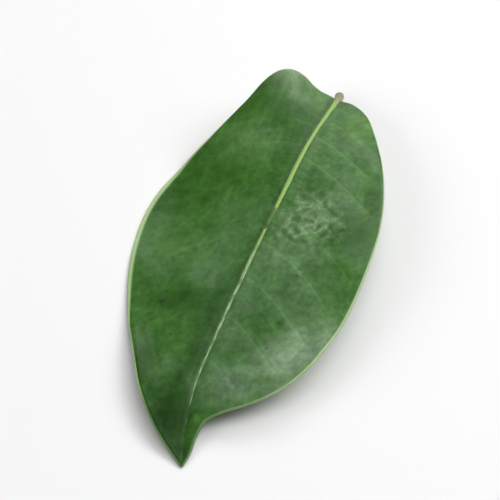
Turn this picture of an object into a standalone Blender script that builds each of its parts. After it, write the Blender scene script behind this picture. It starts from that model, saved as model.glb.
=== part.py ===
"""A soursop leaf, picked with its stalk and lying face up on a flat surface.

The leaf grew as one piece, so it is one solid: a leathery blade folded a little along its
midrib, side veins pressed into the upper face and raised beneath, a midrib that stands out
as a ridge underneath, and the short stalk that runs on from it. It rests on three low
points round its weight: the tip, the cut end of the stalk, and a flat spot on the left
margin near mid-length.

Lengths are in millimetres up to the last step, where MM turns them into metres. The leaf
lies along Y with its tip towards -Y and its upper face towards +Z. A place on the blade is
given as u, the distance from the base along the midrib, and w, the distance out from it,
with the left half (-X) below zero.
"""

import math

import bmesh
import bpy
import numpy as np
from mathutils import Vector

MM = 0.001

# Blade
BLADE_LENGTH = 120.0
THICKNESS = 0.6

# Outline of each half in the flat blade: u, then the distance out from the midrib.
RIGHT_MARGIN = [
    (0, 1), (0.3, 4.5), (2.5, 8.8), (8, 13.4), (16, 17.8), (27, 22), (40, 25.4),
    (54, 27.2), (68, 27.3), (80, 26), (90, 23.3), (97.2, 19.8), (102, 15.8), (104.8, 11.7),
    (106.7, 7.6), (108.8, 4.4), (112.3, 2.9), (116.6, 1.8), (120, 0.3),
]
LEFT_MARGIN = [
    (0, 1), (0.4, 3.4), (1.1, 6), (2.2, 8.8), (3.9, 12), (7.9, 15.5), (14, 19), (21, 23.4),
    (28, 27.9), (34, 30.1), (41, 31.2), (50, 31.2), (59, 29.9), (68, 27.6), (78, 24),
    (88, 19.6), (97, 14.8), (105, 10.6), (111, 7), (116, 3.4), (120, 0.3),
]

# How the leaf lies: the value at each distance u along the midrib.
BOW = [(0, 0), (15, -2), (40, -3.2), (65, -4.2), (85, -4.8), (100, -5), (110, -3.8), (120, -1.5)]
ARCH = [(0, 7), (15, 7.2), (40, 6.8), (65, 6), (90, 4.4), (110, 1.7), (120, -0.3)]
LEFT_SLOPE = [(0, 0.82), (5, 0.78), (13, 0.43), (22, 0.17), (32, -0.03), (46, -0.14),
              (60, -0.12), (75, -0.06), (90, 0.04), (105, 0.15), (120, 0.4)]
RIGHT_SLOPE = [(0, 0.1), (5, 0.1), (13, 0.16), (22, 0.22), (32, 0.26), (50, 0.3),
               (70, 0.3), (90, 0.3), (105, 0.3), (120, 0.4)]
LEFT_DROOP = [(0, 0.3), (13, 0.3), (32, 0.22), (46, 0.12), (60, 0.11), (75, 0.14), (90, 0.18),
              (105, 0.1), (120, 0)]
RIGHT_DROOP = [(0, 0.2), (60, 0.2), (95, 0.2), (105, 0.18), (120, 0)]
DROOP_WIDTH = 28.0
FLOOR_BLEND = 0.6

# The left half's base stands up as a lobe: what it adds at each distance out from the
# midrib, and the share of it at each distance u.
LEFT_LOBE = [(0, 0), (2, -0.6), (4, -1.3), (6, -0.9), (8, 0.6), (10, 1.3), (13, 0.9), (17, 0)]
LEFT_LOBE_FADE = [(0, 1), (3, 0.9), (9, 0.35), (16, 0)]

# The margins undulate a little.
WAVE_HEIGHT = 0.45
WAVE_LENGTH = 34.0
LEFT_WAVE_SHIFT = 0.35
RIGHT_WAVE_SHIFT = 0.6

# Side veins: pressed into the upper face, raised beneath, with the blade puffed up between.
VEIN_ROWS = 12
VEIN_SINK = 0.18
VEIN_PUFF = 0.08
VEIN_HALF_WIDTH = 0.17
VEIN_START_POWER = 1.5
VEIN_MARGIN_POWER = 0.9
VEIN_SWEEP_POWER = 1.25
VEIN_FADE_IN = 0.08
VEIN_FADE_OUT = 0.3
LEFT_VEIN_SHIFT = 0.5

# Midrib: how thick it is and how far its axis lies under the blade's middle.
MIDRIB_END = 114.0
MIDRIB_STEP = 3.0
MIDRIB_RADIUS = [(0, 1.0), (30, 0.9), (60, 0.72), (80, 0.55), (100, 0.32), (114, 0.2)]
MIDRIB_SINK = [(0, 0.35), (30, 0.3), (60, 0.22), (80, 0.24), (100, 0.16), (114, 0)]

# Stalk: its axis from the cut end up to the blade, relative to the blade's base.
STALK_AXIS = [(-1.7, 8.4, -5.831), (-1.3, 7.3, -4.7), (-0.6, 4.8, -2.3), (-0.1, 2.4, -0.8)]
STALK_RADIUS = [(0, 1.2), (1.5, 1.05), (6, 1.0), (9, 1.05)]
STALK_STEP = 0.9

# Mesh
COLUMNS_PER_HALF = 12
COLUMN_POWER = 1.2
ROWS_PER_VEIN = 4
RIB_BEVEL_RESOLUTION = 3

# Where the blade's base stands, so that the leaf is centred on the origin.
BASE_X = 5.69
BASE_Y = 55.41

WELD_DISTANCE = 0.00001
LEAF_COLOUR = (0.062, 0.135, 0.042, 1.0)
LEAF_ROUGHNESS = 0.38


def clear_scene():
    """Remove every object that the file opened with."""
    for item in list(bpy.data.objects):
        bpy.data.objects.remove(item, do_unlink=True)


def hermite(stations, values, slopes, place):
    """Value at place on the smooth curve through values, with the slopes given."""
    span = np.clip(np.searchsorted(stations, place, side="right") - 1, 0, len(stations) - 2)
    width = stations[span + 1] - stations[span]
    s = (place - stations[span]) / width
    rise = 3 * s ** 2 - 2 * s ** 3
    return (
        (1 - rise) * values[span]
        + rise * values[span + 1]
        + (s ** 3 - 2 * s ** 2 + s) * width * slopes[span]
        + (s ** 3 - s ** 2) * width * slopes[span + 1]
    )


def profile(table, u):
    """Smooth value at u of a table of (station, value) pairs."""
    stations, values = np.array(table, dtype=float).T
    slopes = np.gradient(values, stations)
    return float(hermite(stations, values, slopes, np.clip(u, stations[0], stations[-1])))


def along(points, fraction):
    """Point at a fraction of the length of a smooth line through the points."""
    points = np.array(points, dtype=float)
    steps = np.linalg.norm(np.diff(points, axis=0), axis=1)
    stations = np.append(0, np.cumsum(steps)) / np.sum(steps)
    slopes = np.gradient(points, stations, axis=0)
    return hermite(stations, points, slopes, np.clip(fraction, 0, 1))


def settle(height):
    """Height of the blade's middle, eased so that it never sinks below the surface."""
    low = THICKNESS / 2
    above = height - low
    if above > FLOOR_BLEND:
        return height
    if above < -FLOOR_BLEND:
        return low
    return low + (above + FLOOR_BLEND) ** 2 / (4 * FLOOR_BLEND)


def blade_point(u, w, relief=0.0):
    """Place in the lying leaf of the point (u, w) of the flat blade, raised by the relief."""
    half_step = 0.5
    bend = math.atan(profile(BOW, u + half_step) - profile(BOW, u - half_step))
    reach = abs(w)
    slope = profile(LEFT_SLOPE if w < 0 else RIGHT_SLOPE, u)
    droop = profile(LEFT_DROOP if w < 0 else RIGHT_DROOP, u)
    shift = LEFT_WAVE_SHIFT if w < 0 else RIGHT_WAVE_SHIFT
    wave = math.sin(math.tau * (u / WAVE_LENGTH + shift))
    lobe = profile(LEFT_LOBE, reach) * profile(LEFT_LOBE_FADE, u) if w < 0 else 0.0
    height = (
        profile(ARCH, u)
        + slope * reach
        - droop * reach ** 2 / DROOP_WIDTH
        + WAVE_HEIGHT * wave * (reach / DROOP_WIDTH) ** 2
        + lobe
        + relief
    )
    return (
        profile(BOW, u) + w * math.cos(bend),
        -u + w * math.sin(bend),
        settle(height),
    )


def row_place(row, across):
    """(u, w) at a place along one side vein's line.

    row runs from 0 at the base to 1 at the tip, and across from -1 at the left margin,
    through 0 at the midrib, to 1 at the right margin.
    """
    margin = along(LEFT_MARGIN if across < 0 else RIGHT_MARGIN, row ** VEIN_MARGIN_POWER)
    start = BLADE_LENGTH * row ** VEIN_START_POWER
    out = abs(across)
    u = start + (margin[0] - start) * out ** VEIN_SWEEP_POWER
    return u, math.copysign(margin[1] * out, across)


def vein_relief(row, across):
    """Height that the side veins add: low along each vein, high between two."""
    shift = LEFT_VEIN_SHIFT if across < 0 else 0.0
    phase = (row * VEIN_ROWS + shift) % 1.0
    gap = min(phase, 1.0 - phase)
    groove = math.exp(-(gap / VEIN_HALF_WIDTH) ** 2)
    out = abs(across)
    inner = min(out / VEIN_FADE_IN, 1.0)
    outer = min((1.0 - out) / VEIN_FADE_OUT, 1.0)
    ends = min(row * VEIN_ROWS, (1.0 - row) * VEIN_ROWS, 1.0)
    return (VEIN_PUFF - (VEIN_SINK + VEIN_PUFF) * groove) * inner * outer * ends


def make_blade(material):
    """The blade: a grid laid along the side veins, shaped by rule and made solid."""
    bm = bmesh.new()
    rows = VEIN_ROWS * ROWS_PER_VEIN
    bmesh.ops.create_grid(bm, x_segments=2 * COLUMNS_PER_HALF, y_segments=rows, size=1.0)
    for vert in bm.verts:
        across = math.copysign(abs(vert.co.x) ** COLUMN_POWER, vert.co.x)
        row = (vert.co.y + 1.0) / 2.0
        place = blade_point(*row_place(row, across), vein_relief(row, across))
        vert.co = Vector(place) * MM
    bmesh.ops.triangulate(bm, faces=bm.faces, quad_method="SHORT_EDGE")
    bmesh.ops.reverse_faces(bm, faces=bm.faces)
    mesh = bpy.data.meshes.new("soursop_leaf")
    bm.to_mesh(mesh)
    bm.free()
    mesh.materials.append(material)
    mesh.shade_smooth()
    blade = bpy.data.objects.new("soursop_leaf", mesh)
    solid = blade.modifiers.new("thickness", "SOLIDIFY")
    solid.thickness = THICKNESS * MM
    solid.offset = 0.0
    return blade


def rib_line():
    """Axis of the stalk and the midrib, from the cut end to near the tip, with its radii."""
    base = np.array(blade_point(0, 0)) - (0, 0, profile(MIDRIB_SINK, 0))
    stalk = [tuple(base + point) for point in STALK_AXIS] + [tuple(base)]
    stalk_length = float(np.sum(np.linalg.norm(np.diff(np.array(stalk), axis=0), axis=1)))
    line = []
    for distance in np.arange(0, stalk_length - STALK_STEP / 2, STALK_STEP):
        line.append((along(stalk, distance / stalk_length), profile(STALK_RADIUS, distance)))
    for u in np.arange(0, MIDRIB_END + MIDRIB_STEP / 2, MIDRIB_STEP):
        middle = np.array(blade_point(u, 0)) - (0, 0, profile(MIDRIB_SINK, u))
        line.append((middle, profile(MIDRIB_RADIUS, u)))
    return line


def make_rib(cutters):
    """The stalk and midrib as one tapered tube, ready to be joined to the blade."""
    line = rib_line()
    curve = bpy.data.curves.new("stalk_and_midrib", "CURVE")
    curve.dimensions = "3D"
    curve.bevel_depth = MM
    curve.bevel_resolution = RIB_BEVEL_RESOLUTION
    curve.use_fill_caps = True
    spline = curve.splines.new("POLY")
    spline.points.add(len(line) - 1)
    for point, (place, radius) in zip(spline.points, line):
        point.co = (*(place * MM), 1.0)
        point.radius = radius
    tube = bpy.data.objects.new("rib_curve", curve)
    cutters.objects.link(tube)
    depsgraph = bpy.context.evaluated_depsgraph_get()
    mesh = bpy.data.meshes.new_from_object(tube.evaluated_get(depsgraph))
    bm = bmesh.new()
    bm.from_mesh(mesh)
    bmesh.ops.remove_doubles(bm, verts=bm.verts, dist=WELD_DISTANCE)
    bmesh.ops.recalc_face_normals(bm, faces=bm.faces)
    bm.to_mesh(mesh)
    bm.free()
    rib = bpy.data.objects.new("stalk_and_midrib", mesh)
    rib.matrix_world = tube.matrix_world
    bpy.data.objects.remove(tube, do_unlink=True)
    cutters.objects.link(rib)
    rib.hide_render = True
    rib.display_type = "WIRE"
    return rib


def leaf_material():
    """Glossy dark green of the upper face."""
    material = bpy.data.materials.new("leaf")
    material.use_nodes = True
    shader = material.node_tree.nodes["Principled BSDF"]
    shader.inputs["Base Color"].default_value = LEAF_COLOUR
    shader.inputs["Roughness"].default_value = LEAF_ROUGHNESS
    shader.inputs["Metallic"].default_value = 0.0
    return material


def add_collection(name):
    """A new collection in the scene."""
    collection = bpy.data.collections.new(name)
    bpy.context.scene.collection.children.link(collection)
    return collection


def main():
    """Build the leaf and set it on the surface, centred on the origin."""
    clear_scene()
    leaf_parts = add_collection("Soursop leaf")
    cutters = add_collection("Cutters")
    blade = make_blade(leaf_material())
    leaf_parts.objects.link(blade)
    rib = make_rib(cutters)
    for item in (blade, rib):
        item.location = (BASE_X * MM, BASE_Y * MM, 0)
    union = blade.modifiers.new("join the midrib and stalk", "BOOLEAN")
    union.operation = "UNION"
    union.solver = "EXACT"
    union.object = rib


main()
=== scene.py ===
"""Looks of a picked soursop leaf that lies face up on a pale floor.

The leaf is dressed in two pieces that grew as one: the blade, with its upper face, under
face and rim, and the stalk that runs on as the midrib. Both take the place of the leaf's
solid. Lengths are in millimetres up to the last step, where MM turns them into metres.

A place on the flat blade is given in two ways. One is u, the distance from the base along
the midrib, with w, the distance out from it, below zero in the left half. The other is row,
0 at the base and 1 at the tip, with across, -1 at the left margin and 1 at the right one.
A line of one row runs along a side vein.
"""

import logging
import math
from dataclasses import asdict
from dataclasses import dataclass
from enum import Enum

import bpy
import numpy as np
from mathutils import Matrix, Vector
from mathutils.kdtree import KDTree


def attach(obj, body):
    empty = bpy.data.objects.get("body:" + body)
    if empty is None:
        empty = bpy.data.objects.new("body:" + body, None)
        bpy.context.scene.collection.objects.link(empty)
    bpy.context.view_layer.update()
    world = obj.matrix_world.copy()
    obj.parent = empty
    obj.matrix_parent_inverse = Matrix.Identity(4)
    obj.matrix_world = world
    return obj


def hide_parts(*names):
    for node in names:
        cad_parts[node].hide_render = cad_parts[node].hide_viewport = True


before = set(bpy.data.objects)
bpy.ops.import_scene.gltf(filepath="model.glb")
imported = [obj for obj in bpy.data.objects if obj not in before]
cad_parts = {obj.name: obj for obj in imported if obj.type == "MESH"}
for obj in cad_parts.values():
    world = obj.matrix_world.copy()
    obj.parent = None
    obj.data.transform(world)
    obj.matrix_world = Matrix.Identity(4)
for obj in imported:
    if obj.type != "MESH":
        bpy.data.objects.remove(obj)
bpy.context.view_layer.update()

MM = 0.001
TINY = 1e-9
BODY = "root"
LEAF_NODE = "soursop_leaf"

Colour = tuple[float, float, float]
Range = tuple[float, float]
Table = tuple[tuple[float, ...], ...]
Socket = bpy.types.NodeSocket
Source = bpy.types.NodeSocket | float | tuple

log = logging.getLogger("soursop leaf")


class Side(Enum):
    """The two halves of the blade, as seen from above with the stalk away."""

    LEFT = -1
    RIGHT = 1


class Skin(Enum):
    """The three surfaces of the blade, in the order of its material slots."""

    UPPER = 0
    UNDER = 1
    RIM = 2


class Mark(Enum):
    """What the blade's and the rib's points carry for their materials."""

    FLAT = "flat_place"
    VEIN = "vein_distance"
    VEIN_SHOW = "vein_show"
    BORDER = "border_share"
    ALONG = "along"
    AROUND = "around"
    CUT = "cut"


def bell(distance: np.ndarray, width: float) -> np.ndarray:
    """1 at distance 0, falling smoothly to nothing past about twice the width."""
    return np.exp(-((distance / width) ** 2))


def ramp(value: np.ndarray) -> np.ndarray:
    """The value, held between 0 and 1."""
    return np.clip(value, 0, 1)


def hermite(
    stations: np.ndarray, values: np.ndarray, slopes: np.ndarray, place: np.ndarray
) -> np.ndarray:
    """Value at each place on the smooth curve through the values.

    Args:
        stations: where the values stand, rising.
        values: one value or point for each station.
        slopes: the curve's slope at each station.
        place: where the curve is read, within the stations.

    Returns:
        One value or point for each place.
    """
    span = np.clip(np.searchsorted(stations, place, side="right") - 1, 0, len(stations) - 2)
    extra = (1,) * (values.ndim - 1)
    width = (stations[span + 1] - stations[span]).reshape(span.shape + extra)
    s = (place - stations[span]).reshape(span.shape + extra) / width
    rise = 3 * s**2 - 2 * s**3
    return (
        (1 - rise) * values[span]
        + rise * values[span + 1]
        + (s**3 - 2 * s**2 + s) * width * slopes[span]
        + (s**3 - s**2) * width * slopes[span + 1]
    )


@dataclass(frozen=True)
class Profile:
    """A smooth curve through pairs of a station and a value."""

    table: Table

    def at(self, place: np.ndarray) -> np.ndarray:
        """Values of the curve at each place, held level past both ends.

        Args:
            place: where the curve is read.

        Returns:
            One value for each place.
        """
        stations, values = np.array(self.table, dtype=float).T
        place = np.clip(np.asarray(place, dtype=float), stations[0], stations[-1])
        return hermite(stations, values, np.gradient(values, stations), place)


@dataclass(frozen=True)
class Path:
    """A smooth line through points, read by the fraction of its length."""

    points: Table

    def length(self) -> float:
        """Length of the straight steps between the points."""
        steps = np.diff(np.array(self.points, dtype=float), axis=0)
        return float(np.sum(np.linalg.norm(steps, axis=1)))

    def at(self, fraction: np.ndarray) -> np.ndarray:
        """Points of the line at each fraction from 0 to 1.

        Args:
            fraction: shares of the length, from 0 to 1.

        Returns:
            One point for each fraction.
        """
        points = np.array(self.points, dtype=float)
        steps = np.linalg.norm(np.diff(points, axis=0), axis=1)
        stations = np.append(0, np.cumsum(steps)) / np.sum(steps)
        slopes = np.gradient(points, stations, axis=0)
        return hermite(stations, points, slopes, np.clip(fraction, 0, 1))


@dataclass(frozen=True)
class Ripples:
    """A smooth uneven height, the sum of many low waves that run in all directions."""

    height: float
    shortest: float
    longest: float
    seed: int
    count: int = 28

    def at(self, u: np.ndarray, w: np.ndarray) -> np.ndarray:
        """Height at each place of the flat blade, mostly within the height given.

        Args:
            u: distances from the base along the midrib.
            w: distances out from the midrib.

        Returns:
            One height for each place.
        """
        draw = np.random.default_rng(self.seed)
        total = np.zeros_like(u)
        for _ in range(self.count):
            length = draw.uniform(self.shortest, self.longest)
            turn = draw.uniform(0, math.tau)
            start = draw.uniform(0, math.tau)
            wave = (u * math.cos(turn) + w * math.sin(turn)) / length
            total += np.sin(math.tau * wave + start) * length / self.longest
        return total * self.height / math.sqrt(self.count)


@dataclass(frozen=True)
class Swell:
    """A soft rise or hollow at a place (u, w) of the flat blade, with its two reaches."""

    u: float
    w: float
    along: float
    out: float
    height: float

    def at(self, u: np.ndarray, w: np.ndarray) -> np.ndarray:
        """Height that the swell adds at each place."""
        return self.height * bell(u - self.u, self.along) * bell(w - self.w, self.out)


@dataclass(frozen=True)
class HalfBlade:
    """One half of the blade: its outline, how it hangs, and where its veins start."""

    side: Side
    margin: Path
    slope: Profile
    droop: Profile
    wave_shift: float
    vein_shift: float
    border: Profile


LEFT_HALF = HalfBlade(
    side=Side.LEFT,
    margin=Path((
        (0, 1), (0.4, 3.4), (1.1, 6), (2.2, 8.8), (3.9, 12), (7.9, 15.5), (14, 19), (21, 23.4),
        (28, 27.9), (34, 30.1), (41, 31.2), (50, 31.2), (59, 29.9), (68, 27.6), (78, 24),
        (88, 19.6), (97, 14.8), (105, 10.6), (111, 7), (116, 3.4), (120, 0.3),
    )),
    slope=Profile((
        (0, 0.82), (5, 0.78), (13, 0.43), (22, 0.17), (32, -0.03), (46, -0.14),
        (60, -0.12), (75, -0.06), (90, 0.04), (105, 0.15), (120, 0.4),
    )),
    droop=Profile((
        (0, 0.3), (13, 0.3), (32, 0.22), (46, 0.12), (60, 0.11), (75, 0.14), (90, 0.18),
        (105, 0.1), (120, 0),
    )),
    wave_shift=0.35,
    vein_shift=0.5,
    border=Profile((
        (0, 0.3), (18, 0.35), (25, 1.1), (50, 1.4), (74, 1.2), (86, 0.5), (97, 0.15), (120, 0.1),
    )),
)

RIGHT_HALF = HalfBlade(
    side=Side.RIGHT,
    margin=Path((
        (0, 1), (0.3, 4.5), (2.5, 8.8), (8, 13.4), (16, 17.8), (27, 22), (40, 25.4),
        (54, 27.2), (68, 27.3), (80, 26), (90, 23.3), (97.2, 19.8), (102, 15.8), (104.8, 11.7),
        (106.7, 7.6), (108.8, 4.4), (112.3, 2.9), (116.6, 1.8), (120, 0.3),
    )),
    slope=Profile((
        (0, 0.1), (5, 0.1), (13, 0.16), (22, 0.22), (32, 0.26), (50, 0.3),
        (70, 0.3), (90, 0.3), (105, 0.3), (120, 0.4),
    )),
    droop=Profile(((0, 0.2), (60, 0.2), (95, 0.2), (105, 0.18), (120, 0))),
    wave_shift=0.6,
    vein_shift=0.0,
    border=Profile((
        (0, 0.3), (30, 0.35), (50, 0.45), (66, 0.6), (88, 0.6), (100, 0.45), (106, 0.3),
        (120, 0.25),
    )),
)


@dataclass(frozen=True)
class LeafForm:
    """How the leaf lies: the sizes that its solid was built from.

    Only the rise beside the midrib (spine) and the softer settling on the floor
    (floor_blend) are the visual model's own.
    """

    length: float = 120.0
    left: HalfBlade = LEFT_HALF
    right: HalfBlade = RIGHT_HALF
    bow: Profile = Profile((
        (0, 0), (15, -2), (40, -3.2), (65, -4.2), (85, -4.8), (100, -5), (110, -3.8), (120, -1.5),
    ))
    arch: Profile = Profile((
        (0, 7), (15, 7.2), (40, 6.8), (65, 6), (90, 4.4), (110, 1.7), (120, -0.3),
    ))
    lobe: Profile = Profile((
        (0, 0), (2, -0.6), (4, -1.3), (6, -0.9), (8, 0.6), (10, 1.3), (13, 0.9), (17, 0),
    ))
    lobe_fade: Profile = Profile(((0, 1), (3, 0.9), (9, 0.35), (16, 0)))
    spine: Profile = Profile(((0, 0), (12, 0.06), (50, 0.16), (90, 0.14), (116, 0.04), (120, 0)))
    droop_width: float = 28.0
    floor_blend: float = 1.6
    wave_height: float = 0.45
    wave_length: float = 34.0
    vein_rows: int = 12
    vein_start_power: float = 1.5
    vein_margin_power: float = 0.9
    vein_sweep_power: float = 1.25
    base: tuple[float, float, float] = (5.69, 55.41, 0.0)
    bend_step: float = 0.5
    slope_step: float = 0.05

    def settle(self, height: np.ndarray, low: float) -> np.ndarray:
        """Ease heights so that none goes below low.

        Args:
            height: the heights.
            low: the lowest height.

        Returns:
            The eased heights.
        """
        blend = self.floor_blend
        above = height - low
        eased = low + np.maximum(above + blend, 0) ** 2 / (4 * blend)
        return np.where(above > blend, height, eased)

    def middle(self, u: np.ndarray, w: np.ndarray, relief: np.ndarray, low: float) -> np.ndarray:
        """Places in the lying leaf of points of the flat blade.

        Args:
            u: distances from the base along the midrib.
            w: distances out from the midrib.
            relief: heights added to the blade's middle.
            low: the lowest height of the blade's middle, half its thickness.

        Returns:
            An array of points, with x, y and z last.
        """
        step = self.bend_step
        bend = np.arctan((self.bow.at(u + step) - self.bow.at(u - step)) / (2 * step))
        left = w < 0
        reach = np.abs(w)
        slope = np.where(left, self.left.slope.at(u), self.right.slope.at(u))
        droop = np.where(left, self.left.droop.at(u), self.right.droop.at(u))
        shift = np.where(left, self.left.wave_shift, self.right.wave_shift)
        wave = np.sin(math.tau * (u / self.wave_length + shift))
        height = (
            self.arch.at(u)
            + slope * reach
            - droop * reach**2 / self.droop_width
            + self.wave_height * wave * (reach / self.droop_width) ** 2
            + np.where(left, self.lobe.at(reach) * self.lobe_fade.at(u), 0)
            + relief
        )
        x = self.bow.at(u) + w * np.cos(bend)
        y = -u + w * np.sin(bend)
        return np.stack([x, y, self.settle(height, low)], axis=-1) + np.array(self.base)

    def facing(self, u: np.ndarray, w: np.ndarray, relief: np.ndarray, low: float) -> np.ndarray:
        """Directions straight out of the upper face, at the places that middle gives.

        Args:
            u: distances from the base along the midrib.
            w: distances out from the midrib.
            relief: heights added to the blade's middle.
            low: the lowest height of the blade's middle, half its thickness.

        Returns:
            An array of directions of length 1, with x, y and z last.
        """
        step = self.slope_step
        along = self.middle(u + step, w, relief, low) - self.middle(u - step, w, relief, low)
        out = self.middle(u, w + step, relief, low) - self.middle(u, w - step, relief, low)
        normal = np.cross(along, out)
        return normal / np.linalg.norm(normal, axis=-1, keepdims=True)

    def margin_width(self, row: np.ndarray, side: Side) -> np.ndarray:
        """Distance of the margin from the midrib where each row ends."""
        half = self.left if side is Side.LEFT else self.right
        return half.margin.at(row**self.vein_margin_power)[..., 1]

    def flat_place(self, row: np.ndarray, across: np.ndarray) -> tuple[np.ndarray, np.ndarray]:
        """u and w of the places given by row and across.

        Args:
            row: places from 0 at the base to 1 at the tip.
            across: places from -1 at the left margin to 1 at the right one.

        Returns:
            The distances u, and the distances w.
        """
        fraction = row**self.vein_margin_power
        left = (across < 0)[..., None]
        margin = np.where(left, self.left.margin.at(fraction), self.right.margin.at(fraction))
        start = self.length * row**self.vein_start_power
        out = np.abs(across)
        u = start + (margin[..., 0] - start) * out**self.vein_sweep_power
        return u, np.copysign(margin[..., 1] * out, across)

    def vein_gap(self, row: np.ndarray, across: np.ndarray) -> np.ndarray:
        """How far each place is from the nearest side vein: 0 on one, 0.5 halfway.

        Args:
            row: places from 0 at the base to 1 at the tip.
            across: places from -1 at the left margin to 1 at the right one.

        Returns:
            The gaps, as shares of the distance between two veins.
        """
        shift = np.where(across < 0, self.left.vein_shift, self.right.vein_shift)
        phase = (row * self.vein_rows + shift) % 1.0
        return np.minimum(phase, 1.0 - phase)


def set_marks(mesh: bpy.types.Mesh, marks: dict[Mark, np.ndarray]) -> None:
    """Store values on the mesh's points, as numbers or as vectors.

    Args:
        mesh: the mesh.
        marks: one number or vector for each point, by mark.
    """
    for mark, values in marks.items():
        kind = "FLOAT" if values.ndim == 1 else "FLOAT_VECTOR"
        layer = mesh.attributes.new(mark.value, kind, "POINT")
        layer.data.foreach_set("value" if kind == "FLOAT" else "vector", values.ravel())


def mesh_object(
    name: str,
    points: np.ndarray,
    faces: list[list[int]],
    skins: np.ndarray,
    materials: list[bpy.types.Material],
) -> bpy.types.Object:
    """Make a smooth-shaded object.

    Args:
        name: the object's name.
        points: the points, in millimetres.
        faces: the point numbers of each face.
        skins: the material slot of each face.
        materials: the material of each slot.

    Returns:
        The object, linked into the scene.
    """
    mesh = bpy.data.meshes.new(name)
    mesh.from_pydata((points * MM).tolist(), [], faces)
    for material in materials:
        mesh.materials.append(material)
    mesh.polygons.foreach_set("material_index", skins.astype(np.int32))
    mesh.shade_smooth()
    mesh.update()
    item = bpy.data.objects.new(name, mesh)
    bpy.context.scene.collection.objects.link(item)
    return item


@dataclass(frozen=True)
class BladeGrid:
    """The blade's middle surface as rows and columns of points."""

    inside: np.ndarray
    fullness: np.ndarray
    u: np.ndarray
    w: np.ndarray
    gap: np.ndarray
    vein: np.ndarray
    show: np.ndarray
    lesser: np.ndarray
    lesser_show: np.ndarray
    edge: np.ndarray
    border: np.ndarray


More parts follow.
